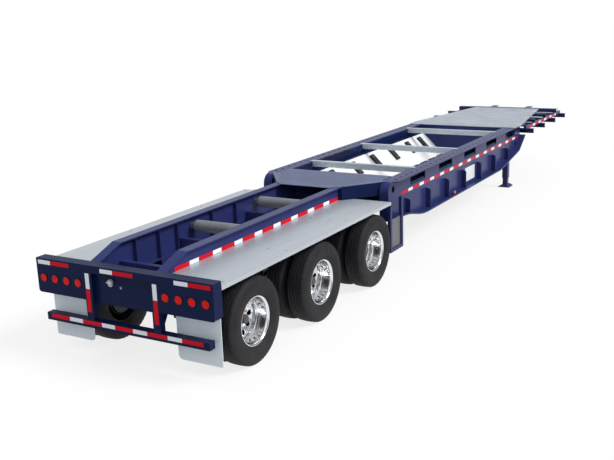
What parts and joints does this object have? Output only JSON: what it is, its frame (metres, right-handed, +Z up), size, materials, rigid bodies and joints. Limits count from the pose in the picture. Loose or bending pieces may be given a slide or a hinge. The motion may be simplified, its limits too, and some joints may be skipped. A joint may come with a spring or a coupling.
{
  "type": "coil hauler semi-trailer",
  "caption": "Long semi-trailer with a dropped, pad-lined trough for steel coils between deep ribbed side beams, a tread-plate neck and a tri-axle bogie of twin wheels.",
  "frame": {"origin": "on the ground under the middle of the overall length and width", "axes": "+X forward to the kingpin end, +Y to the left side, +Z up"},
  "size_m": [14.63, 2.59, 1.372],
  "materials": {
    "navy_paint": "gloss",
    "fender_sheet": "satin",
    "deck_plate": "satin",
    "neck_plate": "satin",
    "galvanised": "satin",
    "white_paint": "gloss",
    "black_rubber": "matte",
    "black_paint": "satin",
    "grey_paint": "satin",
    "lamp_red": "gloss",
    "flap_sheet": "satin",
    "tyre_rubber": "matte",
    "polished_wheel": "polished",
    "bare_steel": "satin"
  },
  "bodies": {
    "chassis": {"rear_rails": "navy_paint", "rear_crossmembers": "navy_paint", "tail_header": "navy_paint", "tail_lamps": "lamp_red", "underride_guard": "navy_paint", "mud_flaps": "flap_sheet", "fenders": "fender_sheet", "suspension_hangers": "navy_paint", "trailing_arms": "black_paint", "air_springs": "black_rubber", "axle_rear": "black_paint", "axle_mid": "black_paint", "axle_front": "black_paint", "brake_chambers": "grey_paint", "air_tanks": "grey_paint", "transition_deck": "deck_plate", "well_rear_bulkhead": "navy_paint", "side_beam_left": "navy_paint", "side_beam_right": "navy_paint", "top_flange_left": "navy_paint", "top_flange_right": "navy_paint", "well_trough": "white_paint", "well_liners": "navy_paint", "trough_pads": "black_rubber", "crossbars": "galvanised", "well_crossmembers": "navy_paint", "well_front_bulkhead": "navy_paint", "neck_frame": "navy_paint", "neck_side_rails": "navy_paint", "neck_deck": "neck_plate", "front_bolster": "navy_paint", "coupler_plate": "bare_steel", "kingpin": "bare_steel", "landing_legs": "navy_paint", "landing_brace": "navy_paint", "splash_frames": "navy_paint"},
    "wheels_rear_left": {"tyres_rear_left": "tyre_rubber", "wheel_rear_left": "polished_wheel"},
    "wheels_rear_right": {"tyres_rear_right": "tyre_rubber", "wheel_rear_right": "polished_wheel"},
    "wheels_mid_left": {"tyres_mid_left": "tyre_rubber", "wheel_mid_left": "polished_wheel"},
    "wheels_mid_right": {"tyres_mid_right": "tyre_rubber", "wheel_mid_right": "polished_wheel"},
    "wheels_front_left": {"tyres_front_left": "tyre_rubber", "wheel_front_left": "polished_wheel"},
    "wheels_front_right": {"tyres_front_right": "tyre_rubber", "wheel_front_right": "polished_wheel"}
  },
  "joints": [
    {"name": "spin_rear_left", "type": "hinge", "parent": "chassis", "child": "wheels_rear_left", "pos_m": [-6.475, 0.99, 0.53], "axis": [0, 1, 0], "continuous": true},
    {"name": "spin_rear_right", "type": "hinge", "parent": "chassis", "child": "wheels_rear_right", "pos_m": [-6.475, -0.99, 0.53], "axis": [0, 1, 0], "continuous": true},
    {"name": "spin_mid_left", "type": "hinge", "parent": "chassis", "child": "wheels_mid_left", "pos_m": [-4.9, 0.99, 0.53], "axis": [0, 1, 0], "continuous": true},
    {"name": "spin_mid_right", "type": "hinge", "parent": "chassis", "child": "wheels_mid_right", "pos_m": [-4.9, -0.99, 0.53], "axis": [0, 1, 0], "continuous": true},
    {"name": "spin_front_left", "type": "hinge", "parent": "chassis", "child": "wheels_front_left", "pos_m": [-3.325, 0.99, 0.53], "axis": [0, 1, 0], "continuous": true},
    {"name": "spin_front_right", "type": "hinge", "parent": "chassis", "child": "wheels_front_right", "pos_m": [-3.325, -0.99, 0.53], "axis": [0, 1, 0], "continuous": true}
  ]
}
